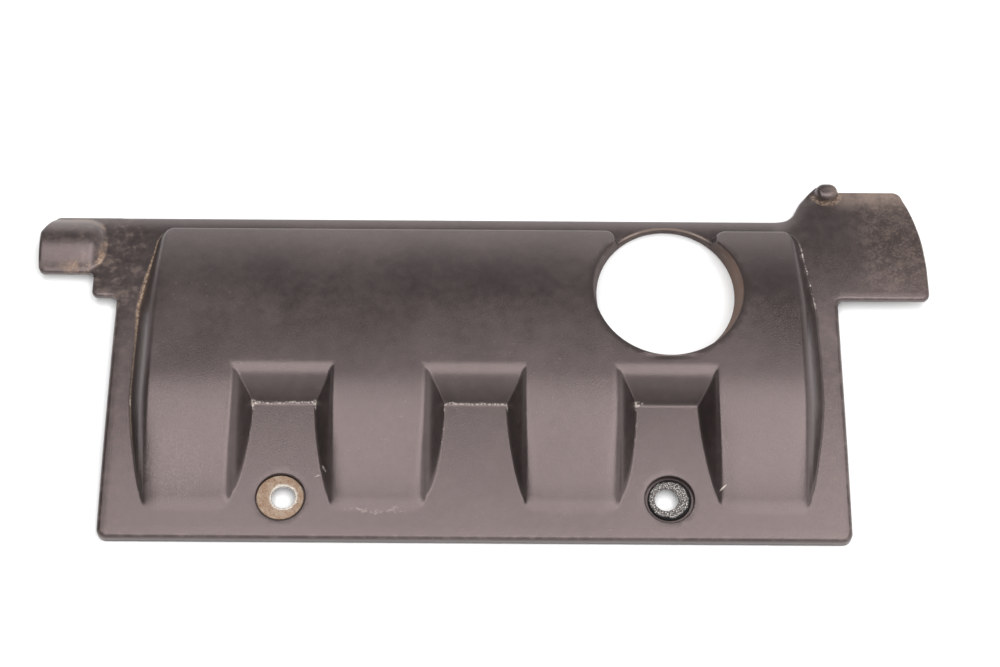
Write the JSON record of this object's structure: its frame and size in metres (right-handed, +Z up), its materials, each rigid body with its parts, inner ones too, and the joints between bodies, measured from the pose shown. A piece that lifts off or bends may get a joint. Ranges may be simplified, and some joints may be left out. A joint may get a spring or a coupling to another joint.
{
  "type": "engine cover",
  "caption": "Thin moulded engine bay cover with a vaulted top, sloping front pockets, a round filler opening, a humped side ear, a rolled side hood and ringed fixing seats.",
  "frame": {"origin": "midway between the bores of the fixing rings, level with the rings' upper faces", "axes": "+X to the hood end, along the row of pockets, +Y from the plain front edge to the back, +Z up, out of the visible side"},
  "size_m": [0.422, 0.187, 0.0231],
  "materials": {
    "grained_plastic": "fine grain, satin, dusty",
    "rusty_steel": "rusted, bright where worn round the bore",
    "worn_rubber": "rough, oily"
  },
  "bodies": {
    "root": {"engine_cover": "grained_plastic", "steel_fixing_ring": "rusty_steel", "rubber_fixing_ring": "worn_rubber"}
  },
  "joints": []
}
